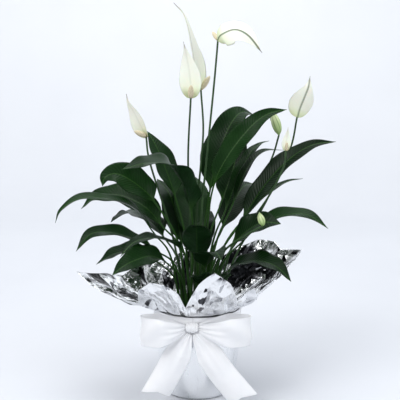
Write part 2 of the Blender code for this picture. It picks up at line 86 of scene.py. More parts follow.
def cloudy(tree, where, size, detail=3.0):
    """Soft noise whose patches are about size metres across."""
    return add_node(tree, "ShaderNodeTexNoise", Vector=where, Scale=1 / size, Detail=detail).outputs["Fac"]


def colour_steps(tree, share, stops):
    """Colours blended along a 0 to 1 share; stops are (share, colour)."""
    steps = add_node(tree, "ShaderNodeValToRGB", Fac=share)
    ramp = steps.color_ramp.elements
    while len(ramp) < len(stops):
        ramp.new(0.5)
    for stop, (place, colour) in zip(ramp, stops):
        stop.position = place
        stop.color = (*colour, 1.0)
    return steps.outputs["Color"]


def raised(tree, shader, height, depth):
    """Turns a 0 to 1 height into relief that is depth metres deep."""
    relief = add_node(tree, "ShaderNodeBump", Height=height, Strength=1.0, Distance=depth)
    tree.links.new(relief.outputs["Normal"], shader.inputs["Normal"])


def glossed(tree, shader, share, smooth, dull):
    """Roughness that runs from smooth to dull as a share goes from 0 to 1."""
    tree.links.new(sum_of(tree, "MULTIPLY_ADD", share, dull - smooth, smooth), shader.inputs["Roughness"])


def object_place(tree):
    return add_node(tree, "ShaderNodeTexCoord").outputs["Object"]


pot_black, tree, shader = new_finish("moulded_pot_black", (0.020, 0.020, 0.022), 0.52)
place = object_place(tree)
dust = cloudy(tree, place, 0.018)
tree.links.new(colour_steps(tree, dust, [(0.35, (0.014, 0.014, 0.015)), (0.75, (0.040, 0.038, 0.036))]),
               shader.inputs["Base Color"])
glossed(tree, shader, dust, 0.38, 0.66)
raised(tree, shader, cloudy(tree, place, 0.0016, 2.0), 0.0002)
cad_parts["nursery_pot"].data.materials.clear()
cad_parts["nursery_pot"].data.materials.append(pot_black)

# ---------------------------------------------------------------- potting mix
# Damp dark peat with fine bark and a few white grains of perlite, filled to 16 mm below the rim
# and heaped a little towards the plant.
MIX_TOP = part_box("compost")[1][2]
MIX_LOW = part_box("compost")[0][2]
MIX_RADIUS = 0.0655


def surface(name, grid, finish, around=False, open_top=False, marks=None, uv=None):
    """A mesh over a grid of points (rows, columns, 3), one face between each four neighbours.

    With around, the last column joins the first, the end rows are closed (the last one not with
    open_top), and the faces are turned outwards by the sign of the volume that they hold. marks
    are numbers (rows, columns, 3) kept on the points; uv is a flat layout (rows, columns or
    columns + 1, 2).
    """
    rows, columns = grid.shape[:2]
    wide = columns if around else columns - 1
    r, k = np.meshgrid(np.arange(rows - 1), np.arange(wide), indexing="ij")
    r, k = r.ravel(), k.ravel()
    n = (k + 1) % columns
    faces = np.stack([r * columns + k, r * columns + n, (r + 1) * columns + n, (r + 1) * columns + k], 1)
    flat_at = np.stack([np.stack([r, k], 1), np.stack([r, k + 1], 1),
                        np.stack([r + 1, k + 1], 1), np.stack([r + 1, k], 1)], 1)
    points = grid.reshape(-1, 3)
    corners = points[faces]
    split = np.concatenate([corners[:, [0, 1, 2]], corners[:, [0, 2, 3]]])
    ends = []
    if around:
        held = np.einsum("ij,ij->i", split[:, 0], np.cross(split[:, 1], split[:, 2])).sum()
        low, high = np.arange(columns), (rows - 1) * columns + np.arange(columns)
        for ring, turn in ((low, -1), (high, 1)):
            middle = points[ring].mean(0)
            nxt = np.roll(ring, -1)
            held += turn * np.einsum("j,ij->i", middle, np.cross(points[ring], points[nxt])).sum()
        ends = [low[::-1].tolist(), high.tolist()]
        ends = ends[:1] if open_top else ends
        if held < 0:
            faces, flat_at = faces[:, ::-1], flat_at[:, ::-1]
            ends = [end[::-1] for end in ends]
    mesh = bpy.data.meshes.new(name)
    mesh.from_pydata(points.tolist(), [], faces.tolist() + ends)
    if uv is not None:
        layer = mesh.uv_layers.new(name="lie")
        spread = uv[flat_at[..., 0], np.minimum(flat_at[..., 1], uv.shape[1] - 1)].reshape(-1, 2)
        tail = [uv.reshape(-1, 2).mean(0)] * sum(len(end) for end in ends)
        layer.data.foreach_set("uv", np.concatenate([spread, *([tail] if tail else [])]).ravel())
    if marks is not None:
        kept = mesh.attributes.new("marks", "FLOAT_COLOR", "POINT")
        four = np.concatenate([marks, np.ones((rows, columns, 1))], 2)
        kept.data.foreach_set("color", four.ravel().astype(np.float32))
    mesh.polygons.foreach_set("use_smooth", np.ones(len(mesh.polygons), bool))
    mesh.materials.append(finish)
    mesh.update()
    piece = bpy.data.objects.new(name, mesh)
    bpy.context.scene.collection.objects.link(piece)
    return piece


def stands_for(piece, node):
    """The piece takes a frame part's place and moves with the body that it is on."""
    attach(piece, "root")
    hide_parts(node)


def on_bearing(bearing, reach, height):
    """Points from arrays of bearing in degrees, reach from the axis and height."""
    turn = np.radians(bearing)
    return np.stack(np.broadcast_arrays(reach * np.cos(turn), reach * np.sin(turn), height), -1)


def lumps(where, size, seed):
    """Smooth lumps between -1 and 1: the mean of nine waves in seeded directions."""
    pick = np.random.default_rng(seed)
    way = pick.normal(size=(9, 3))
    way *= (2 * math.pi / size * pick.uniform(0.6, 1.7, (9, 1))) / np.linalg.norm(way, axis=1, keepdims=True)
    return np.sin(where @ way.T + pick.uniform(0, 6.28, 9)).mean(-1) * 2


def turned_body(name, outline, finish, sides, rough=0.0, size=0.01, seed=1, high=1e9):
    """An outline of (radius, height) carried round Z; points above high are lumped by rough."""
    outline = np.array(outline)
    bearings = np.arange(sides) * 360 / sides
    grid = on_bearing(bearings[None], outline[:, :1], outline[:, 1:])
    lift = np.where(grid[..., 2:] > high, lumps(grid, size, seed)[..., None], 0)
    return surface(name, grid + lift * np.array([0, 0, rough]), finish, around=True)


peat, tree, shader = new_finish("damp_peat", (0.020, 0.012, 0.008), 0.9)
place = object_place(tree)
grains = add_node(tree, "ShaderNodeTexVoronoi", Vector=place, Scale=420.0)
pick = add_node(tree, "ShaderNodeSeparateColor", Color=grains.outputs["Color"])
crumb = colour_steps(tree, pick.outputs[0], [(0.0, (0.010, 0.006, 0.004)), (0.55, (0.030, 0.018, 0.011)),
                                             (0.93, (0.060, 0.036, 0.020)), (0.965, (0.62, 0.60, 0.54))])
tree.links.new(crumb, shader.inputs["Base Color"])
raised(tree, shader, grains.outputs["Distance"], 0.0025)
inward = np.linspace(1, 0.02, 60)
mix_outline = ([(0.002, MIX_LOW), (0.0490, MIX_LOW), (0.0495, MIX_LOW + 0.001), (MIX_RADIUS, MIX_TOP - 0.003)]
               + [(MIX_RADIUS * s, MIX_TOP - 0.0012 + 0.0008 * (1 - s)) for s in inward])
mix = turned_body("potting_mix", mix_outline, peat, 120, 0.0007, 0.007, 3, MIX_TOP - 0.0015)
stands_for(mix, "compost")

# ---------------------------------------------------------------- crown
# The plant's fleshy crown, where every stalk starts: a low knobbed mound at the compost's surface.
CROWN_LOW, CROWN_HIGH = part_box("root_crown")[0][2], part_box("root_crown")[1][2]
CROWN_RADIUS = 0.0320

crown_green, tree, shader = new_finish("crown_flesh", (0.10, 0.13, 0.04), 0.6)
place = object_place(tree)
patches = cloudy(tree, place, 0.006)
tree.links.new(colour_steps(tree, patches, [(0.30, (0.045, 0.030, 0.014)), (0.55, (0.10, 0.12, 0.035)),
                                            (0.80, (0.20, 0.24, 0.09))]), shader.inputs["Base Color"])
raised(tree, shader, cloudy(tree, place, 0.002), 0.0008)
span = np.linspace(0, 1, 26)
mound = ([(0.002, CROWN_LOW), (CROWN_RADIUS - 0.001, CROWN_LOW)]
         + [(CROWN_RADIUS * math.cos(s * 1.54), CROWN_LOW + 0.001 + (CROWN_HIGH - CROWN_LOW - 0.0012)
             * math.sin(s * 1.57) ** 0.35) for s in span])
crown = turned_body("crown_mound", mound, crown_green, 90, 0.0006, 0.008, 5, CROWN_LOW + 0.0008)
stands_for(crown, "root_crown")

# ---------------------------------------------------------------- leaves
# Glossy dark green leaves, each a single blade on a long channelled stalk: a lighter midrib, fine
# side veins that sweep to the edge, a gently waved edge and a long drawn-out tip.
# Each row: where the stalk leaves the crown (reach, bearing), the bearing it leans along, the turn
# of the blade about its midrib at the neck and at the tip, its width, then its midrib as
# (reach, height): stalk, neck, blade ... tip.
STALK_FOOT = CROWN_HIGH + 0.0003
LEAVES = [
    (0.019, 135, 135, 0, -15, 0.048,
     [(0.030, 0.265), (0.055, 0.335), (0.078, 0.380), (0.103, 0.420), (0.128, 0.448)]),
    (0.019, 225, 215, 10, -25, 0.064,
     [(0.010, 0.250), (0.012, 0.316), (0.026, 0.365), (0.056, 0.403), (0.100, 0.410), (0.147, 0.404)]),
    (0.019, 195, 188, -45, -60, 0.054,
     [(0.032, 0.260), (0.073, 0.335), (0.102, 0.366), (0.135, 0.386), (0.156, 0.382), (0.162, 0.366)]),
    (0.028, 200, 200, -5, -25, 0.028,
     [(0.048, 0.240), (0.077, 0.284), (0.112, 0.330), (0.157, 0.350), (0.204, 0.354), (0.236, 0.337),
      (0.246, 0.316)]),
    (0.028, 160, 165, -30, -40, 0.050,
     [(0.030, 0.245), (0.062, 0.287), (0.095, 0.321), (0.141, 0.340), (0.186, 0.336), (0.216, 0.312)]),
    (0.028, 220, 205, -15, -30, 0.038,
     [(0.040, 0.222), (0.077, 0.256), (0.115, 0.280), (0.159, 0.296), (0.192, 0.296), (0.218, 0.270)]),
    (0.028, 260, 236, 0, -20, 0.030,
     [(0.030, 0.215), (0.043, 0.255), (0.087, 0.283), (0.136, 0.297), (0.178, 0.297), (0.210, 0.282)]),
    (0.028, 240, 222, -25, -35, 0.046,
     [(0.034, 0.200), (0.066, 0.236), (0.102, 0.256), (0.140, 0.254), (0.163, 0.248), (0.183, 0.238)]),
    (0.0095, 60, 35, 25, 35, 0.058,
     [(0.013, 0.266), (0.026, 0.350), (0.043, 0.410), (0.070, 0.464), (0.096, 0.485), (0.128, 0.474)]),
    (0.0095, 0, 3, 55, 60, 0.041,
     [(0.016, 0.277), (0.027, 0.360), (0.052, 0.414), (0.091, 0.464), (0.121, 0.486), (0.152, 0.493)]),
    (0.028, 80, 58, 15, 20, 0.050,
     [(0.034, 0.254), (0.081, 0.322), (0.118, 0.370), (0.143, 0.418), (0.154, 0.456)]),
    (0.019, 15, 358, 35, 45, 0.042,
     [(0.036, 0.234), (0.074, 0.298), (0.112, 0.360), (0.151, 0.405), (0.192, 0.433), (0.234, 0.440)]),
    (0.028, 340, 340, 15, 25, 0.038,
     [(0.042, 0.222), (0.082, 0.272), (0.118, 0.307), (0.158, 0.323), (0.194, 0.325), (0.228, 0.305)]),
    (0.028, 40, 28, 10, 10, 0.018,
     [(0.048, 0.240), (0.094, 0.298), (0.128, 0.329), (0.157, 0.347), (0.186, 0.357), (0.218, 0.360)]),
    (0.028, 60, 60, 20, 25, 0.046,
     [(0.048, 0.228), (0.090, 0.270), (0.128, 0.308), (0.170, 0.336), (0.212, 0.338)]),
    (0.019, 75, 43, 10, 10, 0.026,
     [(0.036, 0.255), (0.066, 0.308), (0.098, 0.366), (0.127, 0.405), (0.152, 0.422), (0.180, 0.427)]),
    (0.028, 320, 326, 15, 15, 0.048,
     [(0.036, 0.192), (0.062, 0.222), (0.098, 0.243), (0.136, 0.248), (0.164, 0.239), (0.184, 0.222)]),
    (0.019, 285, 330, 38, 48, 0.052,
     [(0.033, 0.233), (0.068, 0.268), (0.098, 0.296), (0.127, 0.312), (0.158, 0.313)]),
    (0.019, 45, 32, 5, 5, 0.022,
     [(0.036, 0.250), (0.072, 0.321), (0.103, 0.385), (0.138, 0.413), (0.186, 0.413)]),
    (0.028, 100, 100, 0, 0, 0.066,
     [(0.032, 0.220), (0.044, 0.262), (0.058, 0.306), (0.082, 0.348), (0.124, 0.368)]),
    (0.028, 140, 145, 0, 0, 0.058,
     [(0.040, 0.220), (0.072, 0.262), (0.110, 0.290), (0.155, 0.298), (0.198, 0.276)]),
    (0.019, 105, 86, 0, 0, 0.056,
     [(0.027, 0.204), (0.042, 0.234), (0.062, 0.266), (0.092, 0.290), (0.134, 0.294)]),
    (0.0095, 240, 268, 0, 0, 0.052,
     [(0.012, 0.200), (0.018, 0.240), (0.026, 0.270), (0.040, 0.296), (0.056, 0.306)]),
    (0.019, 255, 292, 0, 10, 0.052,
     [(0.020, 0.195), (0.034, 0.226), (0.054, 0.252), (0.080, 0.264), (0.106, 0.257)]),
    (0.028, 280, 278, 0, 0, 0.040,
     [(0.032, 0.170), (0.044, 0.196), (0.062, 0.214), (0.086, 0.222), (0.110, 0.240)]),
    (0.028, 120, 124, 0, 0, 0.064,
     [(0.034, 0.215), (0.050, 0.250), (0.066, 0.294), (0.092, 0.336), (0.134, 0.358)]),
    (0.028, 300, 299, 10, 10, 0.040,
     [(0.034, 0.172), (0.046, 0.194), (0.066, 0.212), (0.092, 0.220), (0.112, 0.232)]),
    (0.028, 180, 182, -10, -20, 0.046,
     [(0.038, 0.195), (0.068, 0.228), (0.102, 0.246), (0.140, 0.246), (0.176, 0.226)]),
]
SPINE_STEPS = 480
STALK_RINGS, BLADE_RINGS, TOP_POINTS = 16, 84, 17
BLADE_HALF_THICK = 0.00028
VEIN_GAP = 0.058         # between side veins along the midrib, in tenths of a metre


def smooth_path(points, count):
    """Evenly spaced points on the Catmull-Rom curve through given points."""
    knots = np.array(points, dtype=float)
    knots = np.vstack([2 * knots[0] - knots[1], knots, 2 * knots[-1] - knots[-2]])
    a, b, c, d = (knots[k:len(knots) - 3 + k, None] for k in range(4))
    t = np.linspace(0, 1, 24, endpoint=False)[None, :, None]
    dense = 0.5 * (2 * b + (c - a) * t + (2 * a - 5 * b + 4 * c - d) * t ** 2
                   + (3 * b - a - 3 * c + d) * t ** 3)
    dense = np.vstack([dense.reshape(-1, 3), knots[-2]])
    travelled = np.concatenate([[0], np.cumsum(np.linalg.norm(np.diff(dense, axis=0), axis=1))])
    wanted = np.linspace(0, travelled[-1], count)
    return np.column_stack([np.interp(wanted, travelled, dense[:, k]) for k in range(3)])


def one_long(vectors):
    return vectors / np.linalg.norm(vectors, axis=-1, keepdims=True)


def square_to(vectors, ways):
    """The part of each vector at right angles to its way, made one long."""
    return one_long(vectors - ways * (vectors * ways).sum(-1, keepdims=True))


def headings(spine, at, step):
    """The way that a path runs at the given steps."""
    last = len(spine) - 1
    return one_long(spine[np.minimum(at + step, last)] - spine[np.maximum(at - step, 0)])


def laid_flat(tree):
    """The piece's own flat layout."""
    return add_node(tree, "ShaderNodeUVMap", uv_map="lie").outputs["UV"]


def kept_marks(tree):
    """The three numbers that the points keep."""
    marks = add_node(tree, "ShaderNodeAttribute", attribute_name="marks").outputs["Color"]
    return add_node(tree, "ShaderNodeSeparateColor", Color=marks).outputs


def near_midrib(tree, aside, reach):
    """1 on the midrib, falling evenly to 0 at reach aside."""
    return sum_of(tree, "SUBTRACT", 1.0, sum_of(tree, "MINIMUM", sum_of(tree, "DIVIDE", aside, reach), 1.0))


def crests(tree, wave, power):
    """The upper half of a wave, narrowed by a power."""
    return sum_of(tree, "POWER", sum_of(tree, "MAXIMUM", wave, 0.0), power)


leaf_green, tree, shader = new_finish("leaf_green", (0.012, 0.040, 0.012), 0.34)
shader.inputs["Specular IOR Level"].default_value = 0.13
lie = laid_flat(tree)
flat = add_node(tree, "ShaderNodeSeparateXYZ", Vector=lie).outputs
blade, under, age = kept_marks(tree)
aside = sum_of(tree, "ABSOLUTE", flat[0])
sweep = sum_of(tree, "SUBTRACT", flat[1], sum_of(tree, "MULTIPLY", aside, 0.85))
drift = sum_of(tree, "MULTIPLY", cloudy(tree, lie, 0.30), 9.0)
wave = sum_of(tree, "SINE", sum_of(tree, "MULTIPLY_ADD", sweep, 2 * math.pi / VEIN_GAP, drift))
vein = crests(tree, wave, 5.0)
rib = near_midrib(tree, aside, 0.012)
patch = cloudy(tree, object_place(tree), 0.035)
mottle = sum_of(tree, "ADD", sum_of(tree, "MULTIPLY", patch, 0.6), sum_of(tree, "MULTIPLY", age, 0.5))
skin = colour_steps(tree, mottle, [(0.25, (0.0010, 0.0080, 0.0011)), (0.60, (0.0024, 0.0175, 0.0020)),
                                   (0.95, (0.0075, 0.0360, 0.0052))])


def tinted(tree, share, first, second):
    """Two colours mixed by a share; each is a socket or a colour."""
    mix_node = add_node(tree, "ShaderNodeMix", data_type="RGBA")
    for key, value in ((0, share), (6, first), (7, second)):
        if isinstance(value, bpy.types.NodeSocket):
            tree.links.new(value, mix_node.inputs[key])
        else:
            mix_node.inputs[key].default_value = (*value, 1.0) if key else value
    return mix_node.outputs[2]


veined = tinted(tree, sum_of(tree, "MULTIPLY", vein, 0.28), skin, (0.012, 0.050, 0.010))
ribbed = tinted(tree, sum_of(tree, "MULTIPLY", rib, 0.70), veined, (0.040, 0.100, 0.022))
dull = tinted(tree, sum_of(tree, "MULTIPLY", under, 0.40), ribbed, (0.010, 0.036, 0.011))
tree.links.new(tinted(tree, blade, (0.022, 0.070, 0.012), dull), shader.inputs["Base Color"])
relief = sum_of(tree, "MULTIPLY", sum_of(tree, "MULTIPLY_ADD", vein, -0.6, wave), blade)
dulled = sum_of(tree, "MULTIPLY_ADD", under, 0.4, sum_of(tree, "MULTIPLY", patch, 0.6))
glossed(tree, shader, dulled, 0.22, 0.56)
raised(tree, shader, relief, 0.00015)


def blade_outline(u):
    """Half-width share from neck (0) to tip (1): widest near the middle, with a long point."""
    return u ** 0.75 * (1 - u) ** 1.05 / (0.42 ** 0.75 * 0.58 ** 1.05)


def leaf(number, row):
    """Rings round the midrib: a round stalk that opens into a folded, waved blade.

    A ring's point at share v across lies v times the half-width aside and a little up, more
    towards the edges; the edge rises and falls along the blade.
    """
    root_reach, root_bearing, bearing, turn_neck, turn_tip, width, midrib = row
    pick = np.random.default_rng(40 + number)
    reach, height = np.array(midrib).T
    route = np.vstack([on_bearing(root_bearing, root_reach, STALK_FOOT), on_bearing(bearing, reach, height)])
    spine = smooth_path(route, SPINE_STEPS + 1)
    neck = int(np.argmin(np.linalg.norm(spine - route[2], axis=1)))
    at = np.concatenate([np.linspace(0, neck, STALK_RINGS, endpoint=False),
                         np.linspace(neck, SPINE_STEPS, BLADE_RINGS)]).round().astype(int)
    ahead = headings(spine, at, 8)
    ahead[0] = (0, 0, 1)
    flat = math.radians(bearing)
    upper = one_long(np.cross(ahead, (-math.sin(flat), math.cos(flat), 0.0)))
    flat_side = one_long(np.cross(upper, ahead))
    u = np.maximum(0.0, (at - neck) / (SPINE_STEPS - neck))
    turn = np.radians(np.where(at < neck, turn_neck * at / neck, turn_neck + (turn_tip - turn_neck) * u))
    side = flat_side * np.cos(turn)[:, None] + upper * np.sin(turn)[:, None]
    normal = upper * np.cos(turn)[:, None] - flat_side * np.sin(turn)[:, None]

    across = np.concatenate([np.linspace(-1, 1, TOP_POINTS), np.linspace(1, -1, TOP_POINTS)[1:-1]])
    below = np.arange(len(across)) >= TOP_POINTS
    round_it = math.pi - np.arange(len(across)) * 2 * math.pi / len(across)
    u, v = u[:, None], across[None]
    half = np.maximum(0.0004, width / 2 * blade_outline(np.minimum(u, 0.997)))
    edge = np.sqrt(v ** 2 + 0.004)
    lift = 0.42 * (1 - 0.5 * u) * (0.55 * edge + 0.45 * v ** 2) * half
    swing = np.where(v > 0, pick.uniform(0, 6.28), pick.uniform(0, 6.28))
    lift = lift + 0.11 * half * v ** 2 * np.sin(2 * math.pi * pick.uniform(2.2, 3.6) * u + swing)
    rib_here = np.exp(-(v * half / 0.0018) ** 2) * (1 - 0.75 * u)
    half_thick = BLADE_HALF_THICK * np.sqrt(1 - 0.98 * v ** 2)
    depth = np.where(below, -half_thick - 0.0011 * rib_here, half_thick - 0.0004 * rib_here)
    up_stalk = np.minimum(1.0, at / neck)[:, None]
    thick = 0.0026 - 0.0011 * up_stalk
    share = np.minimum(1.0, u * 6)
    share = share * share * (3 - 2 * share)
    channel = 1 - 0.35 * np.exp(-((round_it - math.pi / 2) / 0.5) ** 2) * up_stalk
    aside = np.cos(round_it) * thick * (1 - share) + v * half * share
    up = np.sin(round_it) * thick * channel * (1 - share) + (lift + depth) * share
    grid = spine[at][:, None] + side[:, None] * aside[..., None] + normal[:, None] * up[..., None]
    along = np.linalg.norm(np.diff(spine, axis=0), axis=1).mean() * at * 10
    uv = np.stack(np.broadcast_arrays(v * half * 10, along[:, None]), -1)
    marks = np.stack(np.broadcast_arrays(share, np.where(below, 1.0, 0.0)[None], pick.uniform(0, 1)), -1)
    piece = surface("lily_leaf_%02d" % number, grid, leaf_green, around=True, marks=marks, uv=uv)
    stands_for(piece, "leaf_%02d" % number)


for number, row in enumerate(LEAVES, start=1):
    leaf(number, row)

# ---------------------------------------------------------------- flower stalks
# Slender round green stalks from the crown, one to each flower or bud.
# Each row: where the stalk leaves the crown (reach, bearing) and its points up to the flower.
STALKS = {
    "flower_1": (0.019, 165, [(-0.042, 0.000, 0.270), (-0.080, -0.002, 0.400), (-0.087, 0.000, 0.447)]),
    "flower_2": (0.0095, 180, [(-0.013, 0.008, 0.300), (-0.016, 0.008, 0.410), (-0.011, -0.012, 0.513)]),
    "flower_3": (0.0095, 120, [(-0.002, 0.020, 0.300), (0.006, 0.018, 0.400), (0.010, 0.024, 0.460),
                               (0.006, 0.036, 0.524)]),
    "flower_4": (0.0095, 300, [(0.006, -0.014, 0.300), (0.016, -0.018, 0.416), (0.028, -0.018, 0.540),
                               (0.034, -0.009, 0.608)]),
    "flower_5": (0.028, 0, [(0.066, 0.009, 0.235), (0.122, 0.026, 0.335), (0.162, 0.044, 0.420),
                            (0.174, 0.048, 0.477)]),
    "flower_6": (0.019, 345, [(0.044, -0.008, 0.225), (0.076, -0.012, 0.280), (0.120, -0.030, 0.350),
                              (0.143, -0.038, 0.400), (0.147, -0.036, 0.428)]),
    "bud_1": (0.028, 20, [(0.060, 0.022, 0.250), (0.100, 0.036, 0.340), (0.130, 0.040, 0.405),
                          (0.142, 0.040, 0.446)]),
    "bud_2": (0.019, 315, [(0.026, -0.027, 0.215), (0.046, -0.052, 0.262), (0.078, -0.080, 0.293),
                           (0.105, -0.091, 0.312)]),
}
STALK_RADIUS, STALK_TOP, STALK_STEPS = 0.0020, 0.0016, 72

stalk_green, tree, shader = new_finish("flower_stalk_green", (0.030, 0.075, 0.022), 0.42)
shader.inputs["Specular IOR Level"].default_value = 0.35
place = object_place(tree)
streaks = add_node(tree, "ShaderNodeMapping", Vector=place, Scale=(900.0, 900.0, 12.0)).outputs[0]
fibre = add_node(tree, "ShaderNodeTexNoise", Vector=streaks, Scale=1.0, Detail=2.0).outputs["Fac"]
tree.links.new(colour_steps(tree, fibre, [(0.30, (0.010, 0.034, 0.008)), (0.70, (0.034, 0.084, 0.022))]),
               shader.inputs["Base Color"])
glossed(tree, shader, fibre, 0.34, 0.52)
raised(tree, shader, fibre, 0.0001)


def tube(name, path, radii, finish, sides=16, marks=None, swell=None):
    """A round body along a path; swell (rings, sides) multiplies the radius to make relief."""
    at = np.arange(len(path))
    ahead = headings(path, at, 1)
    start = np.array([1.0, 0, 0]) if abs(ahead[len(path) // 2][0]) < 0.8 else np.array([0, 1.0, 0])
    side = square_to(start[None], ahead)
    other = np.cross(ahead, side)
    turn = np.arange(sides) * 2 * math.pi / sides
    wide = np.broadcast_to(np.asarray(radii)[:, None] * (1 if swell is None else swell), (len(path), sides))
    grid = path[:, None] + (side[:, None] * np.cos(turn)[None, :, None]
                            + other[:, None] * np.sin(turn)[None, :, None]) * wide[..., None]
    return surface(name, grid, finish, around=True, marks=marks)


stalk_ends = {}
for name, (root_reach, root_bearing, points) in STALKS.items():
    foot = on_bearing(root_bearing, root_reach, STALK_FOOT)
    spine = smooth_path(np.vstack([foot, points]), STALK_STEPS)
    stalk = tube(name + "_stalk", spine, np.linspace(STALK_RADIUS, STALK_TOP, STALK_STEPS), stalk_green)
    stands_for(stalk, name + "_stem")
    stalk_ends[name] = (spine[-1], one_long(spine[-1] - spine[-6]))

# ---------------------------------------------------------------- spathes
# The white hood of each flower: one thin cupped leaf that wraps the foot of the spadix and draws
# out to a point. Its base and the midrib on its back are green, and its tip is greyish brown.
# Each row: the midrib's points up to the tip, the way that its hollow side faces, its width, how
# deeply it is cupped, how green its back is and how brown its tip is.
SPATHES = {
    "flower_1": ([(-0.094, 0.002, 0.462), (-0.106, 0.002, 0.487), (-0.116, -0.002, 0.505),
                  (-0.119, -0.008, 0.520)], (-0.50, -0.75, -0.20), 0.034, 0.75, 0.3, 1.0),
    "flower_2": ([(-0.011, -0.010, 0.527), (-0.013, -0.008, 0.553), (-0.018, -0.008, 0.582),
                  (-0.023, -0.014, 0.606)], (0.05, -1.00, 0.10), 0.042, 0.60, 0.3, 0.9),
    "flower_3": ([(-0.002, 0.040, 0.545), (-0.010, 0.042, 0.600), (-0.022, 0.040, 0.648),
                  (-0.040, 0.034, 0.671)], (0.97, -0.26, 0.05), 0.066, 0.70, 1.0, 0.8),
    "flower_4": ([(0.040, -0.019, 0.617), (0.062, -0.020, 0.625), (0.084, -0.022, 0.615),
                  (0.106, -0.026, 0.588)], (0.10, 0.75, -0.60), 0.052, 0.45, 1.0, 0.9),
    "flower_5": ([(0.178, 0.044, 0.492), (0.186, 0.038, 0.515), (0.191, 0.036, 0.530),
                  (0.194, 0.040, 0.548)], (-0.10, 1.00, 0.05), 0.048, 0.65, 0.8, 0.4),
    "flower_6": ([(0.148, -0.032, 0.440), (0.149, -0.031, 0.450), (0.150, -0.032, 0.460),
                  (0.150, -0.035, 0.467)], (-0.20, -1.00, 0.10), 0.018, 0.75, 0.3, 0.2),
}
SPATHE_FROM_STALK = STALK_TOP + 0.0014
HOOD_RINGS, HOOD_ACROSS = 64, 21

hood_white, tree, shader = new_finish("spathe_white", (0.87, 0.88, 0.78), 0.42)
shader.inputs["Subsurface Weight"].default_value = 0.12
shader.inputs["Subsurface Scale"].default_value = 0.004
flat = add_node(tree, "ShaderNodeSeparateXYZ", Vector=laid_flat(tree)).outputs
along, back_green, tip_brown = kept_marks(tree)
lines = sum_of(tree, "SINE", sum_of(tree, "MULTIPLY", flat[0], 2 * math.pi / 0.022))
fine = crests(tree, lines, 4.0)
white = tinted(tree, sum_of(tree, "MULTIPLY", fine, 0.20), (0.90, 0.91, 0.80), (0.66, 0.74, 0.46))
foot = colour_steps(tree, along, [(0.0, (0.75, 0.75, 0.75)), (0.22, (0.12, 0.12, 0.12)), (0.45, (0, 0, 0))])
greened = tinted(tree, foot, white, (0.50, 0.62, 0.24))
rib = near_midrib(tree, sum_of(tree, "ABSOLUTE", flat[0]), 0.022)
rib = sum_of(tree, "MULTIPLY", sum_of(tree, "POWER", rib, 0.6), back_green)
ribbed = tinted(tree, rib, greened, (0.055, 0.105, 0.035))
last = colour_steps(tree, along, [(0.86, (0, 0, 0)), (0.97, (1, 1, 1))])
end = sum_of(tree, "MULTIPLY", last, tip_brown)
tree.links.new(tinted(tree, end, ribbed, (0.17, 0.15, 0.11)), shader.inputs["Base Color"])
glossed(tree, shader, cloudy(tree, object_place(tree), 0.006), 0.36, 0.50)
raised(tree, shader, sum_of(tree, "MULTIPLY_ADD", lines, 0.5, fine), 0.00012)


def spathe(name, end, ahead, points, facing, width, cup, green, brown):
    """Two close layers over arcs across the midrib: each arc is bent by the cup towards the front.

    An arc's point at share v lies half/bend times sin(v bend) aside and 1 - cos(v bend) inwards;
    the edge is waved a little and rolls back towards the tip.
    """
    facing = np.array(facing)
    front = square_to(facing, ahead)
    start = end - front * SPATHE_FROM_STALK - ahead * 0.001
    spine = smooth_path(np.vstack([start, points]), SPINE_STEPS + 1)
    at = np.linspace(0, SPINE_STEPS, HOOD_RINGS).round().astype(int)
    along = headings(spine, at, 8)
    inner = square_to(facing[None], along)
    side = np.cross(along, inner)
    u = (at / SPINE_STEPS)[:, None]
    swell = 0.09 + 0.91 * np.sin(math.pi * u ** 0.62) ** 0.9
    half = np.maximum(0.0004, width / 2 * swell * (1 - u ** 3))
    bend = cup * 1.5 * (1 - 0.6 * u)
    across = np.linspace(-1, 1, HOOD_ACROSS)
    v = np.concatenate([across, across[::-1][1:-1]])[None]
    behind = np.repeat([0.0, 1.0], [HOOD_ACROSS, HOOD_ACROSS - 2])[None]
    wavy = 0.05 * half * v ** 4 * np.sin(9 * u + 2 * v + len(points[0]) + width * 100)
    roll = 0.16 * half * np.abs(v) ** 5 * np.minimum(1, u * 2)
    aside = half / bend * np.sin(v * bend)
    lift = half / bend * (1 - np.cos(v * bend)) + wavy - roll
    lift = lift + (0.5 - behind) * 0.0007 * np.sqrt(1 - 0.98 * v ** 2)
    lift = lift - behind * 0.0010 * np.exp(-(v * half / 0.0016) ** 2) * (1 - 0.7 * u)
    grid = spine[at][:, None] + side[:, None] * aside[..., None] + inner[:, None] * lift[..., None]
    uv = np.stack(np.broadcast_arrays(v * half * 10, u), -1)
    marks = np.stack(np.broadcast_arrays(u, green * (0.45 + 0.55 * behind), brown), -1)
    piece = surface(name + "_hood", grid, hood_white, around=True, marks=marks, uv=uv)
    stands_for(piece, name + "_spathe")


for name, (points, facing, width, cup, green, brown) in SPATHES.items():
    spathe(name, *stalk_ends[name], points, facing, width, cup, green, brown)

# ---------------------------------------------------------------- spadices
# The spike at the foot of each hood: a rounded cream finger closely set with small flowers that
# stand out as knobs in crossing spirals.
# Each row: the way it points, its length and its radius.
SPADICES = {
    "flower_1": ((-0.70, -0.45, 0.35), 0.024, 0.0045),
    "flower_2": ((0.02, -0.60, 0.90), 0.024, 0.0048),
    "flower_3": ((0.60, -0.22, 0.90), 0.028, 0.0048),
    "flower_4": ((-0.35, 0.95, 0.50), 0.028, 0.0037),
    "flower_5": ((0.15, 0.65, 0.85), 0.026, 0.0046),
    "flower_6": ((0.05, -0.55, 0.90), 0.015, 0.0028),
}
SPIKE_RINGS, SPIKE_SIDES = 70, 48
SPIKE_NECK = 1 / 7       # the share of its length over which a spike widens from its stalk
KNOBS_ROUND, KNOB_TURNS = 8, 9

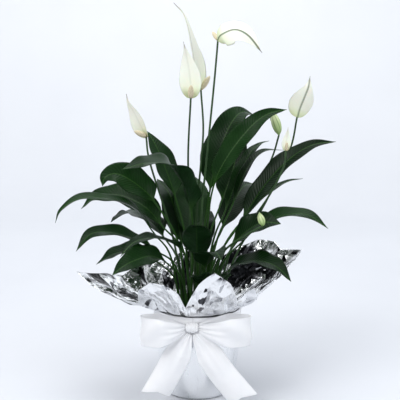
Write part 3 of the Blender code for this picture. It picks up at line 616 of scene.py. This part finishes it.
spadix_cream, tree, shader = new_finish("spadix_cream", (0.80, 0.70, 0.50), 0.65)
knob = kept_marks(tree)[0]
# Painted shade: the cream darkens from the knob tops into the hollows between them. It also darkens towards
# the foot of the spike.
tree.links.new(colour_steps(tree, knob, [(0.05, (0.42, 0.38, 0.20)), (0.45, (0.78, 0.66, 0.46)),
                                         (0.95, (0.93, 0.86, 0.70))]), shader.inputs["Base Color"])
glossed(tree, shader, knob, 0.74, 0.56)
raised(tree, shader, cloudy(tree, object_place(tree), 0.0007), 0.0002)


def spike_path(end, ahead, way, length):
    """From the stalk's end, turning soon into the spike's own way."""
    way = one_long(np.array(way, float))
    foot = end + ahead * 0.0013
    knots = [end + ahead * 0.0003] + [foot + way * length * s for s in (SPIKE_NECK, 0.4, 0.7, 1.0)]
    return smooth_path(knots, SPIKE_RINGS)


def spike_radii(share, radius, neck, least, power):
    """Widens from the stalk to neck times the radius, then swells as a power of half a sine wave."""
    foot = STALK_TOP * 0.9
    swell = np.maximum(least, np.sin(math.pi * (0.10 + 0.895 * share))) ** power
    return np.where(share < SPIKE_NECK, foot + (radius * neck - foot) * share / SPIKE_NECK, radius * swell)


for name, (way, length, radius) in SPADICES.items():
    path = spike_path(*stalk_ends[name], way, length)
    u = np.linspace(0, 1, SPIKE_RINGS)
    radii = spike_radii(u, radius, 0.82, 0.10, 0.5)
    turn = KNOBS_ROUND * np.arange(SPIKE_SIDES) * 2 * math.pi / SPIKE_SIDES
    twist = 2 * math.pi * KNOB_TURNS * u[:, None]
    knob = (0.5 + 0.5 * np.cos(turn + twist)) * (0.5 + 0.5 * np.cos(turn - twist))
    knob = np.sqrt(knob) * np.minimum(1, u[:, None] * 6)
    # The knob height also sets the painted shade in the hollows between the knobs.
    marks = np.repeat(knob[..., None], 3, 2)
    piece = tube(name + "_spike", path, radii, spadix_cream, SPIKE_SIDES, marks, 0.92 + 0.17 * knob)
    stands_for(piece, name + "_spadix")

# ---------------------------------------------------------------- buds
# Young spathes, still rolled round the spadix: a pointed light green spindle with darker stripes
# and one free edge that winds round it.
# Each row: the tip and the radius.
BUDS = {"bud_1": ((0.128, 0.034, 0.490), 0.0085), "bud_2": ((0.099, -0.092, 0.334), 0.0062)}
BUD_SIDES, BUD_STRIPES = 64, 7

bud_green, tree, shader = new_finish("bud_green", (0.36, 0.50, 0.17), 0.42)
stripe, along, edge_painted_shade = kept_marks(tree)
pale = colour_steps(tree, along, [(0.0, (0.16, 0.27, 0.07)), (0.30, (0.42, 0.56, 0.22)),
                                  (0.70, (0.62, 0.70, 0.40)), (1.0, (0.30, 0.42, 0.15))])
striped = tinted(tree, sum_of(tree, "MULTIPLY", stripe, 0.75), pale, (0.070, 0.170, 0.040))
# Painted shade: a darker green strip along the foot of the free edge, where it steps down onto the layer
# beneath.
tree.links.new(tinted(tree, sum_of(tree, "MULTIPLY", edge_painted_shade, 0.5), striped, (0.05, 0.11, 0.03)),
               shader.inputs["Base Color"])
glossed(tree, shader, stripe, 0.36, 0.50)
raised(tree, shader, stripe, 0.0002)

for name, (tip, radius) in BUDS.items():
    end, ahead = stalk_ends[name]
    way = np.array(tip) - end
    path = spike_path(end, ahead, way, np.linalg.norm(way))
    u = np.linspace(0, 1, SPIKE_RINGS)
    radii = spike_radii(u, radius, 0.70, 0.05, 0.9)
    turn, u = np.arange(BUD_SIDES)[None] / BUD_SIDES, u[:, None]
    wind = (turn - 0.75 * u) % 1.0
    stripe = np.maximum(0, np.cos(2 * math.pi * (turn * BUD_STRIPES + 0.5 * u))) ** 3 * np.sin(math.pi * u)
    # The painted shade strip lies just past the step of the free edge.
    edge_painted_shade = np.exp(-((wind - 0.03) / 0.025) ** 2)
    marks = np.stack(np.broadcast_arrays(stripe, u, edge_painted_shade), -1)
    piece = tube(name + "_roll", path, radii, bud_green, BUD_SIDES, marks, 0.90 + 0.16 * wind)
    stands_for(piece, name + "_spathe")

# ---------------------------------------------------------------- silver film
# One square of crinkled mirror film, gathered up round the pot from below. Under the ribbon it
# lies in soft upright pleats; above it the free corners stand out as stiff creased petals.
# The free edge as (bearing, reach, height).
FILM_EDGE = [
    (3, 0.168, 0.226), (12, 0.189, 0.242), (22, 0.164, 0.236), (30, 0.160, 0.248), (42, 0.152, 0.246),
    (55, 0.138, 0.230), (72, 0.112, 0.204), (95, 0.132, 0.234), (118, 0.110, 0.202), (140, 0.124, 0.212),
    (160, 0.142, 0.192), (175, 0.176, 0.204), (190, 0.210, 0.220), (197, 0.186, 0.202), (206, 0.150, 0.182),
    (214, 0.120, 0.174), (219, 0.126, 0.200), (229, 0.120, 0.216), (243, 0.112, 0.216), (253, 0.107, 0.200),
    (258, 0.096, 0.174), (264, 0.106, 0.196), (271, 0.115, 0.220), (278, 0.121, 0.234), (283, 0.125, 0.242),
    (288, 0.126, 0.234), (296, 0.124, 0.220), (303, 0.114, 0.198), (308, 0.106, 0.184), (315, 0.120, 0.200),
    (320, 0.124, 0.204), (327, 0.116, 0.190), (338, 0.130, 0.201), (352, 0.149, 0.214),
]
WAIST_RADIUS, WAIST_LOW, WAIST_HIGH = 0.0749, 0.1100, 0.1520
FILM_STEPS, WALL_ROWS, COLLAR_ROWS = 330, 56, 88
FILM_THICK = 0.0004

mirror_film, tree, shader = new_finish("mirror_film", (0.86, 0.87, 0.89), 0.20, 1.0)
lie = laid_flat(tree)
painted_reflection_share, crushed = kept_marks(tree)[:2]
bent = add_node(tree, "ShaderNodeTexNoise", Vector=lie, Scale=14.0, Detail=2.0).outputs["Color"]
moved = add_node(tree, "ShaderNodeVectorMath", operation="MULTIPLY_ADD", i0=bent, i1=(0.035, 0.035, 0),
                 i2=lie).outputs[0]


def facets(tree, where, size, stretch):
    """Irregular flat pieces about size metres wide, drawn out along the film by stretch."""
    scale = (1 / size, 1 / size / stretch, 1.0)
    drawn = add_node(tree, "ShaderNodeMapping", Vector=where, Scale=scale).outputs[0]
    return add_node(tree, "ShaderNodeTexVoronoi", Vector=drawn, Scale=1.0, voronoi_dimensions="2D")


# Painted reflections: each facet of the film is coloured from black through grey to silver, and more facets
# turn dark where the painted reflection share is high.
large, small = facets(tree, moved, 0.017, 2.2), facets(tree, moved, 0.0060, 1.6)
tone = add_node(tree, "ShaderNodeSeparateColor", Color=large.outputs["Color"]).outputs[0]
speck = add_node(tree, "ShaderNodeSeparateColor", Color=small.outputs["Color"]).outputs[1]
mixed = sum_of(tree, "MULTIPLY_ADD", speck, 0.48, sum_of(tree, "MULTIPLY", tone, 0.52))
level = sum_of(tree, "SUBTRACT", mixed, painted_reflection_share)
silver = colour_steps(tree, sum_of(tree, "ADD", level, 0.5),
                      [(0.46, (0.015, 0.016, 0.018)), (0.50, (0.12, 0.12, 0.13)), (0.55, (0.46, 0.47, 0.49)),
                       (0.62, (0.76, 0.77, 0.79)), (0.74, (0.95, 0.96, 0.97))])
tree.links.new(silver, shader.inputs["Base Color"])
glossed(tree, shader, speck, 0.12, 0.28)
crease = sum_of(tree, "MULTIPLY_ADD", small.outputs["Distance"], 0.35, large.outputs["Distance"])
raised(tree, shader, sum_of(tree, "MULTIPLY", crease, crushed), 0.0018)


def creased(across, up, cells, size, seed):
    """Crumpling between -1 and 1: seeded heights at the corners of a mesh of triangles, flat between.

    across is in turns round the pot, cells of them to a turn; up is in metres, size to a cell.
    """
    rows = 64
    heights = np.random.default_rng(seed).uniform(-1, 1, (cells, rows))
    b = up / size
    a = across * cells + b / 2
    i, j = np.floor(a).astype(int), np.floor(b).astype(int)
    p, q = a - i, b - j
    here, aside, above, beyond = (heights[(i + di) % cells, (j + dj) % rows]
                                  for di, dj in ((0, 0), (1, 0), (0, 1), (1, 1)))
    low = here * (1 - p - q) + aside * p + above * q
    high = beyond * (p + q - 1) + above * (1 - p) + aside * (1 - q)
    return np.where(p + q < 1, low, high)


bearing = np.arange(FILM_STEPS) * 360 / FILM_STEPS
edge_at, edge_reach, edge_height = np.array([FILM_EDGE[-1]] + FILM_EDGE + [FILM_EDGE[0]]).T
edge_at[0] -= 360
edge_at[-1] += 360
reach = np.interp(bearing, edge_at, edge_reach)
height = np.interp(bearing, edge_at, edge_height)
wall = smooth_path([(0.0020, 0.0004, 0), (0.030, 0.0004, 0), (0.0560, 0.0004, 0), (0.0608, 0.0018, 0),
                    (0.0622, 0.0070, 0), (0.0655, 0.0350, 0), (0.0705, 0.0740, 0),
                    (WAIST_RADIUS, WAIST_LOW - 0.002, 0), (WAIST_RADIUS, WAIST_HIGH + 0.001, 0)], WALL_ROWS)
wall_reach, wall_height = wall[:, :1], wall[:, 1:2]
pleat = np.cos(np.radians(9 * bearing)) + 0.6 * np.cos(np.radians(14 * bearing + 50))
soft = np.sin(math.pi * np.minimum(1, wall_height / (WAIST_LOW - 0.002)))
soft = np.where(wall_height > 0.001, soft, 0)
wall_grid = on_bearing(bearing[None], wall_reach + 0.0016 * soft * pleat[None],
                       np.maximum(FILM_THICK, wall_height))
turns = bearing[None] / 360
t = (np.arange(1, COLLAR_ROWS + 1) / COLLAR_ROWS)[:, None]
up = t * (height - WAIST_HIGH)[None]
fold = 0.0035 * np.sin(t * math.pi * 0.9) * np.sin(np.radians(17 * bearing)[None] + 5 * t)
lay = t * np.hypot(reach - WAIST_RADIUS, height - WAIST_HIGH)[None]
warp = turns + 0.010 * np.sin(2 * math.pi * (turns * 5 + lay * 9))
rough = np.minimum(1, t * 2.2) * (0.0042 * creased(warp, lay, 22, 0.030, 11)
                                  + 0.0020 * creased(warp, lay, 58, 0.012, 12))
rough = rough * (1 - 0.85 * t ** 5)
collar_reach = WAIST_RADIUS + (reach - WAIST_RADIUS)[None] * t ** 0.9 + fold + 0.7 * rough
collar_height = (WAIST_HIGH + 0.001 + (height - WAIST_HIGH - 0.001)[None] * t ** 1.1
                 - 0.4 * fold - 0.7 * rough)
film_grid = np.concatenate([wall_grid, on_bearing(bearing[None], collar_reach, collar_height)])
gone = np.cumsum(np.linalg.norm(np.diff(film_grid, axis=0), axis=2), 0)
gone = np.concatenate([np.zeros((1, FILM_STEPS)), gone])
gone = np.concatenate([gone, gone[:, :1]], 1)
film_uv = np.stack(np.broadcast_arrays(np.arange(FILM_STEPS + 1)[None] / FILM_STEPS * 0.78, gone), -1)
in_collar = np.concatenate([np.zeros(len(wall)), t.ravel()])[:, None]
# Painted reflections by bearing: more dark facets all round the collar, more again on the left and at the
# rear below the rim; the front petal's tip is greyed as painted shade.
left = np.exp(-((bearing - 186) / 20) ** 2)
rear_painted_reflection = np.exp(-((bearing - 75) / 75) ** 4)
below_rim = np.clip(4 - 4 * in_collar, 0, 1) ** 0.6
front_tip_painted_shade = np.exp(-((bearing - 284) / 7) ** 2) * np.clip(in_collar * 6 - 5, 0, 1)
painted_reflection_dark = 0.27 + 0.44 * left + 0.50 * rear_painted_reflection * below_rim + 0.36 * front_tip_painted_shade
painted_reflection_dark = -0.16 + painted_reflection_dark * np.minimum(1, in_collar * 5)
film_marks = np.stack(np.broadcast_arrays(painted_reflection_dark, 0.12 + 0.88 * np.minimum(1, in_collar * 4), in_collar), -1)
film = surface("wrap_film", film_grid, mirror_film, around=True, open_top=True, marks=film_marks, uv=film_uv)


def thickened(piece, thick):
    """Gives a sheet its thickness, half on each side."""
    solid = piece.modifiers.new("thickness", "SOLIDIFY")
    solid.thickness, solid.offset = thick, 0.0


thickened(film, FILM_THICK)
stands_for(film, "foil_wrap")

# ---------------------------------------------------------------- ribbon
# White satin ribbon, 49 mm wide: a band round the film at the pot's rim, then a bow at the front
# with two loops, two slanted tails and a small gathered knot. It is pulled narrow at the knot.
RIBBON_WIDTH, GATHERED, RIBBON_THICK, SELVEDGE = 0.0490, 0.0130, 0.0005, 0.0011
ACROSS = np.linspace(-0.5, 0.5, 33)
UPRIGHT = np.array([[0, 0, 1.0]])
BAND_RADIUS, BAND_HEIGHT, BAND_TALL, BAND_STEPS = 0.0763, 0.1310, 0.0415, 241
LOOP_STEPS, TAIL_STEPS = 120, 80
KNOT_LOW, KNOT_HIGH = (np.array(corner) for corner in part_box("bow_knot"))
KNOT = (KNOT_LOW + KNOT_HIGH) / 2
KNOT_HALF = (KNOT_HIGH - KNOT_LOW) / 2

satin, tree, shader = new_finish("white_satin", (0.93, 0.935, 0.95), 0.30)
shader.inputs["Sheen Weight"].default_value = 0.25
shader.inputs["Specular IOR Level"].default_value = 0.55
flat = add_node(tree, "ShaderNodeSeparateXYZ", Vector=laid_flat(tree)).outputs
warp_threads = sum_of(tree, "SINE", sum_of(tree, "MULTIPLY", flat[0], 2 * math.pi / 0.0045))
weft_threads = sum_of(tree, "SINE", sum_of(tree, "MULTIPLY", flat[1], 2 * math.pi / 0.0060))
weave = sum_of(tree, "MULTIPLY_ADD", warp_threads, 0.6, weft_threads)
inside_edge = (RIBBON_WIDTH / 2 - SELVEDGE) * 10
selvedge = sum_of(tree, "GREATER_THAN", sum_of(tree, "ABSOLUTE", flat[0]), inside_edge)
sheen_patch = cloudy(tree, object_place(tree), 0.03)
cloth = colour_steps(tree, sheen_patch, [(0.3, (0.92, 0.925, 0.945)), (0.7, (0.965, 0.965, 0.975))])
tree.links.new(tinted(tree, sum_of(tree, "MULTIPLY", selvedge, 0.5), cloth, (0.86, 0.87, 0.90)),
               shader.inputs["Base Color"])
glossed(tree, shader, sheen_patch, 0.22, 0.40)
raised(tree, shader, sum_of(tree, "MULTIPLY_ADD", selvedge, 2.0, weave), 0.00005)


def ribbon_piece(name, path, across_ways, widths, node, bulge):
    """Ribbon carried along a path: a point at share v lies v times the width along its across way.

    length is the ribbon's own, laid flat; bulge (rows, columns, 3) adds the gathers and soft folds.
    """
    grid = path[:, None] + across_ways[:, None] * (widths[:, None] * ACROSS[None])[..., None] + bulge
    gone = np.concatenate([[0], np.cumsum(np.linalg.norm(np.diff(path, axis=0), axis=1))]) * 10
    uv = np.stack(np.broadcast_arrays(ACROSS[None] * RIBBON_WIDTH * 10, gone[:, None]), -1)
    piece = surface(name, grid, satin, uv=uv)
    thickened(piece, RIBBON_THICK)
    stands_for(piece, node)


# The band: its two ends meet behind the knot, and soft folds run round it.
gone_round = np.linspace(0, 2 * math.pi, BAND_STEPS)
turn = gone_round - math.pi / 2 - 0.10
out = np.stack([np.cos(turn), np.sin(turn), 0 * turn], -1)
near_knot = np.exp(-(np.minimum(gone_round, 2 * math.pi - gone_round) / 0.5) ** 2)[:, None]
folds = np.cos(2 * math.pi * (3.0 * ACROSS[None] + 0.35 * np.sin(turn[:, None] * 2)))
soft = 0.0007 * (1 + near_knot) * (0.5 + 0.5 * folds)
ribbon_piece("satin_band", out * BAND_RADIUS + UPRIGHT * BAND_HEIGHT, UPRIGHT, np.full(BAND_STEPS, BAND_TALL),
             "ribbon_band", out[:, None] * soft[..., None])


def loop(name, hand, far, node):
    """One loop: out from the knot, round its end and back; it opens from the gathered knot."""
    start = KNOT[0] + hand * (KNOT_HALF[0] + 0.0003)
    stop = hand * far
    plan = [(0.00, -0.0024), (0.22, -0.0180), (0.52, -0.0270), (0.82, -0.0230), (0.97, -0.0150),
            (1.00, -0.0070), (0.97, 0.0005), (0.80, 0.0055), (0.52, 0.0055), (0.22, 0.0040), (0.00, 0.0020)]
    route = [(start + (stop - start) * share, KNOT[1] + y, KNOT[2] - 0.001) for share, y in plan]
    path = smooth_path(route, LOOP_STEPS)
    away = np.minimum(1.0, np.abs(path[:, 0] - start) / abs(stop - start))
    tall = GATHERED + (RIBBON_WIDTH - GATHERED) * np.minimum(1.0, away * 1.7) ** 0.8
    out = np.cross(headings(path, np.arange(LOOP_STEPS), 1), UPRIGHT) * hand
    v = ACROSS[None]
    near = np.maximum(0, 1 - away / 0.62)[:, None]
    pleats = np.cos(2 * math.pi * (3.6 * v + 0.18 * hand)) * (0.7 + 0.3 * np.cos(9 * v))
    gather = 0.0019 * near ** 1.1 * pleats
    sag = 0.0022 * np.sin(math.pi * np.minimum(1, away * 1.1))[:, None] * (1 - 4 * v ** 2)
    ripple = 0.0015 * (1 - near) * np.cos(2 * math.pi * (1.1 * v + away[:, None] * 1.2))
    bulge = out[:, None] * (gather + sag + ripple)[..., None]
    ribbon_piece(name, path, UPRIGHT, tall, node, bulge)


def tail(name, route, cut, node):
    """A hanging tail: it opens from the knot, bellies out a little and ends in a notched slanted cut."""
    path = smooth_path(route, TAIL_STEPS)
    share = np.linspace(0, 1, TAIL_STEPS)
    ahead = one_long(headings(path, np.arange(TAIL_STEPS), 1) * np.array([1, 0, 1]))
    across = np.stack([-ahead[:, 2], 0 * share, ahead[:, 0]], -1)
    wide = GATHERED - 0.003 + (RIBBON_WIDTH - GATHERED) * np.minimum(1.0, share * 3.2) ** 0.8
    v, share = ACROSS[None], share[:, None]
    slant = ahead[:, None] * ((cut * v - 0.008 * (1 - np.abs(2 * v))) * share ** 6)[..., None]
    belly = 0.006 * (4 * v ** 2 - 1) * np.minimum(1.0, share * 3)
    gather = 0.0016 * np.maximum(0, 1 - share / 0.75) ** 1.4 * np.cos(2 * math.pi * (2.7 * v + 0.1))
    wavy = 0.0012 * share * np.sin(6.0 * share + 3.0 * v)
    bulge = slant + np.array([0, 1.0, 0]) * (belly + gather + wavy)[..., None]
    ribbon_piece(name, path, across, wide, node, bulge)


# The knot: a short strip wound round the middle of the bow, its width crushed into soft pleats.
# Laid flat, the strip is 28 mm by 50 mm: its longest lines across and round, with no stretch.
around_knot = np.linspace(0, 2 * math.pi, 65)
v = np.linspace(-1, 1, 33)
pinch = 0.93 - 0.30 * np.abs(v) ** 2.4 + 0.09 * np.cos(2 * math.pi * 2.5 * v)
pinch = pinch[None] + 0.05 * np.cos(2 * around_knot[:, None] + 3 * v[None])
narrow = 0.92 + 0.07 * np.cos(around_knot) + 0.04 * np.sin(2 * around_knot + 0.6)
knot_grid = np.stack([KNOT[0] + KNOT_HALF[0] * narrow[:, None] * v[None],
                      KNOT[1] - KNOT_HALF[1] * 0.93 * pinch * np.cos(around_knot)[:, None],
                      KNOT[2] + KNOT_HALF[2] * 0.93 * pinch * np.sin(around_knot)[:, None]], -1)
knot_uv = np.stack(np.broadcast_arrays(v[None] * 0.16, around_knot[:, None] * 0.085), -1)
knot = surface("satin_knot", knot_grid, satin, uv=knot_uv)
thickened(knot, 0.0006)
stands_for(knot, "bow_knot")

loop("satin_loop_left", -1, 0.0940, "bow_loop_left")
loop("satin_loop_right", 1, 0.0890, "bow_loop_right")
under = KNOT[2] - KNOT_HALF[2] - 0.0003
tail("satin_tail_left", [(-0.014, -0.0845, under), (-0.027, -0.0930, 0.105), (-0.048, -0.0960, 0.065),
                         (-0.070, -0.1000, 0.027)], -0.016, "ribbon_tail_left")
tail("satin_tail_right", [(-0.004, -0.0845, under), (0.014, -0.0940, 0.104), (0.040, -0.1000, 0.066),
                          (0.078, -0.1060, 0.020)], 0.014, "ribbon_tail_right")

# ---------------------------------------------------------------- studio
# A plain pale sweep: the floor runs back and curves up into the wall. Large soft lamps stand to
# the left, the right and above, and the camera looks a little down from the front.
paper, tree, shader = new_finish("studio_paper", (0.86, 0.88, 0.92), 0.9)
shader.inputs["Specular IOR Level"].default_value = 0.1
place = object_place(tree)
high = add_node(tree, "ShaderNodeSeparateXYZ", Vector=place).outputs[2]
# Painted shade: the paper is coloured darker on the floor and paler up the wall.
painted_shade_share = sum_of(tree, "MULTIPLY_ADD", high, 0.5, sum_of(tree, "MULTIPLY", cloudy(tree, place, 0.5), 0.2))
tree.links.new(colour_steps(tree, painted_shade_share, [(0.05, (0.64, 0.655, 0.69)), (0.70, (0.90, 0.912, 0.93))]),
               shader.inputs["Base Color"])
bend = np.linspace(0, math.pi / 2, 24)
profile = np.vstack([[(-4.0, -0.0005)], np.stack([1.4 + 0.9 * np.sin(bend), 0.8995 - 0.9 * np.cos(bend)], -1),
                     [(2.3, 4.5)]])
sweep = np.stack(np.broadcast_arrays(np.linspace(-4.5, 4.5, 12)[None], profile[:, :1], profile[:, 1:]), -1)
backdrop = surface("studio_sweep", sweep, paper)


def lamp(name, place, target, size, power, colour=(1.0, 1.0, 1.0)):
    """A square soft lamp at a place, turned towards a target."""
    light = bpy.data.lights.new(name, "AREA")
    light.shape, light.size, light.energy, light.color = "SQUARE", size, power, colour
    stand = bpy.data.objects.new(name, light)
    bpy.context.scene.collection.objects.link(stand)
    stand.location = place
    stand.rotation_euler = (Vector(target) - stand.location).to_track_quat("-Z", "Y").to_euler()


lamp("key_lamp", (-1.5, -1.6, 2.2), (0, 0, 0.30), 1.4, 39.0)
lamp("fill_lamp", (1.9, -1.2, 1.5), (0, 0, 0.30), 1.6, 19.0, (0.94, 0.97, 1.0))
lamp("wall_lamp", (0.0, 0.4, 3.2), (0, 1.6, 0.6), 2.4, 62.0, (0.96, 0.98, 1.0))

world = bpy.data.worlds.new("studio_air")
world.use_nodes = True
air = world.node_tree.nodes["Background"].inputs
air["Color"].default_value = (0.93, 0.955, 1.0, 1.0)
air["Strength"].default_value = 0.50
bpy.context.scene.world = world
bpy.context.scene.view_settings.view_transform = "Standard"

camera = bpy.data.objects.new("studio_camera", bpy.data.cameras.new("studio_camera"))
bpy.context.scene.collection.objects.link(camera)
camera.location = (0.0044, -1.45, 0.60)
camera.rotation_euler = (math.radians(90 - 10.23), 0, 0)
camera.data.lens, camera.data.sensor_width = 77.13, 36.0
bpy.context.scene.camera = camera
